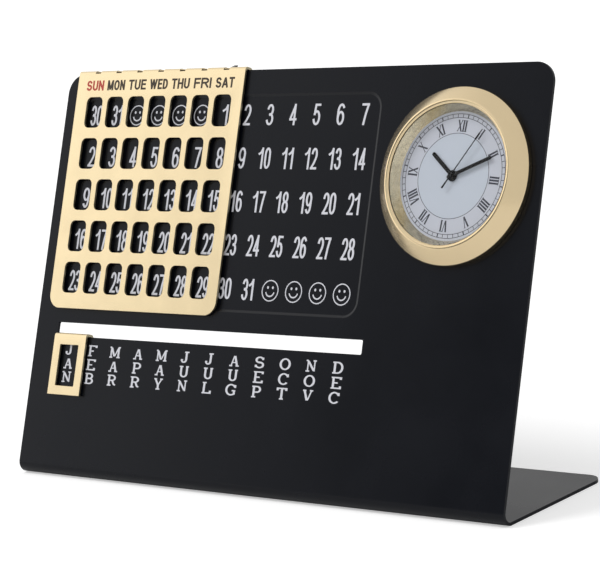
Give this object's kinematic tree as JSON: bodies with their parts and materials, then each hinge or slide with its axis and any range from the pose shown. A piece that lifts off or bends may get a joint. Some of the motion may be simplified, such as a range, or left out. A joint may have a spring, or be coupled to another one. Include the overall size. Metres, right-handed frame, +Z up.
{
  "type": "perpetual desk calendar",
  "caption": "Folded sheet stand with a leaning panel, a windowed day frame and a month frame that slide over printed tables, and a round quartz clock pressed into the panel.",
  "frame": {"origin": "middle of the base's flat underside across the width, half way between the line where the planes of the panel's face and the underside meet and the base's back edge", "axes": "+X along the width, to the right as seen from the front; +Y from the front to the back; +Z up"},
  "size_m": [0.2, 0.0537, 0.1296],
  "materials": {
    "black_coat": "matt black powder coat",
    "blued_spring": "satin black",
    "gilt_sheet": "satin champagne gilt",
    "gilt_bezel": "polished champagne gilt",
    "dark_gilt": "polished dark gilt",
    "mineral_glass": "clear polished",
    "dial_enamel": "satin white print ground",
    "hand_lacquer": "gloss black lacquer",
    "case_plastic": "moulded, fine texture",
    "black_rubber": "matt",
    "movement_plastic": "moulded, natural",
    "steel": "plain",
    "gear_brass": "machined",
    "gear_plastic": "moulded, natural",
    "magnet_ferrite": "sintered",
    "copper_wire": "enamelled copper winding",
    "green_board": "solder mask",
    "contact_brass": "sprung sheet",
    "knob_plastic": "moulded, fluted"
  },
  "bodies": {
    "stand": {"stand_body": "black_coat", "click_spring": "blued_spring", "clock_bezel": "gilt_bezel", "clock_lens": "mineral_glass", "reflector_ring": "dark_gilt", "clock_dial": "dial_enamel", "clock_case": "case_plastic", "grip_band": "black_rubber", "main_plate": "movement_plastic", "train_bridge": "movement_plastic", "bridge_screws": "steel", "stator": "steel", "coil": "copper_wire", "circuit_board": "green_board", "quartz_can": "steel", "button_cell": "steel", "minus_contact": "contact_brass", "plus_contact": "contact_brass"},
    "day_frame": {"day_frame": "gilt_sheet"},
    "month_frame": {"month_frame": "gilt_sheet"},
    "second_hand": {"second_hand": "hand_lacquer", "second_wheel": "gear_plastic"},
    "step_wheel": {"step_wheel": "gear_plastic"},
    "rotor": {"rotor": "magnet_ferrite"},
    "third_wheel": {"third_wheel": "gear_plastic"},
    "centre_wheel": {"centre_wheel": "gear_brass"},
    "minute_hand": {"minute_hand": "hand_lacquer", "minute_pinion": "gear_brass"},
    "motion_wheel": {"motion_wheel": "gear_plastic"},
    "hour_hand": {"hour_hand": "hand_lacquer", "hour_wheel": "gear_brass"},
    "setting_knob": {"setting_knob": "knob_plastic"},
    "battery_cover": {"battery_cover": "case_plastic"}
  },
  "joints": [
    {"name": "day_frame_slide", "type": "slide", "parent": "stand", "child": "day_frame", "axis": [1, 0, 0], "range_m": [0, 0.05802], "deforming": ["click_spring"]},
    {"name": "month_frame_slide", "type": "slide", "parent": "stand", "child": "month_frame", "axis": [1, 0, 0], "range_m": [0, 0.11561]},
    {"name": "second_hand_turn", "type": "hinge", "parent": "stand", "child": "second_hand", "pos_m": [0.0689, 0.00949, 0.09611], "axis": [0, 0.9336, -0.3584], "continuous": true},
    {"name": "step_wheel_turn", "type": "hinge", "parent": "stand", "child": "step_wheel", "pos_m": [0.0612, 0.00949, 0.09611], "axis": [0, 0.9336, -0.3584], "continuous": true},
    {"name": "rotor_turn", "type": "hinge", "parent": "stand", "child": "rotor", "pos_m": [0.05678, 0.00838, 0.09322], "axis": [0, 0.9336, -0.3584], "continuous": true},
    {"name": "third_wheel_turn", "type": "hinge", "parent": "stand", "child": "third_wheel", "pos_m": [0.07023, 0.01219, 0.10315], "axis": [0, 0.9336, -0.3584], "continuous": true},
    {"name": "centre_wheel_turn", "type": "hinge", "parent": "stand", "child": "centre_wheel", "pos_m": [0.0689, 0.00949, 0.09611], "axis": [0, 0.9336, -0.3584], "continuous": true},
    {"name": "minute_hand_turn", "type": "hinge", "parent": "stand", "child": "minute_hand", "pos_m": [0.0689, 0.00949, 0.09611], "axis": [0, 0.9336, -0.3584], "continuous": true},
    {"name": "motion_wheel_turn", "type": "hinge", "parent": "stand", "child": "motion_wheel", "pos_m": [0.0741, 0.01057, 0.09891], "axis": [0, 0.9336, -0.3584], "continuous": true},
    {"name": "hour_hand_turn", "type": "hinge", "parent": "stand", "child": "hour_hand", "pos_m": [0.0689, 0.00949, 0.09611], "axis": [0, 0.9336, -0.3584], "continuous": true},
    {"name": "setting_knob_turn", "type": "hinge", "parent": "stand", "child": "setting_knob", "pos_m": [0.07951, 0.01169, 0.10183], "axis": [0, 0.9336, -0.3584], "continuous": true},
    {"name": "battery_cover_turn", "type": "hinge", "parent": "stand", "child": "battery_cover", "pos_m": [0.06445, 0.00512, 0.08471], "axis": [0, -0.9336, 0.3584], "range_deg": [0, 40]}
  ],
  "couplings": [
    {"joint": "step_wheel_turn", "follows": "second_hand_turn", "ratio": -6},
    {"joint": "rotor_turn", "follows": "second_hand_turn", "ratio": 30},
    {"joint": "third_wheel_turn", "follows": "second_hand_turn", "ratio": -0.13333},
    {"joint": "centre_wheel_turn", "follows": "second_hand_turn", "ratio": 0.016667},
    {"joint": "motion_wheel_turn", "follows": "minute_hand_turn", "ratio": -0.33333},
    {"joint": "hour_hand_turn", "follows": "minute_hand_turn", "ratio": 0.083333},
    {"joint": "setting_knob_turn", "follows": "minute_hand_turn", "ratio": 0.85714}
  ]
}
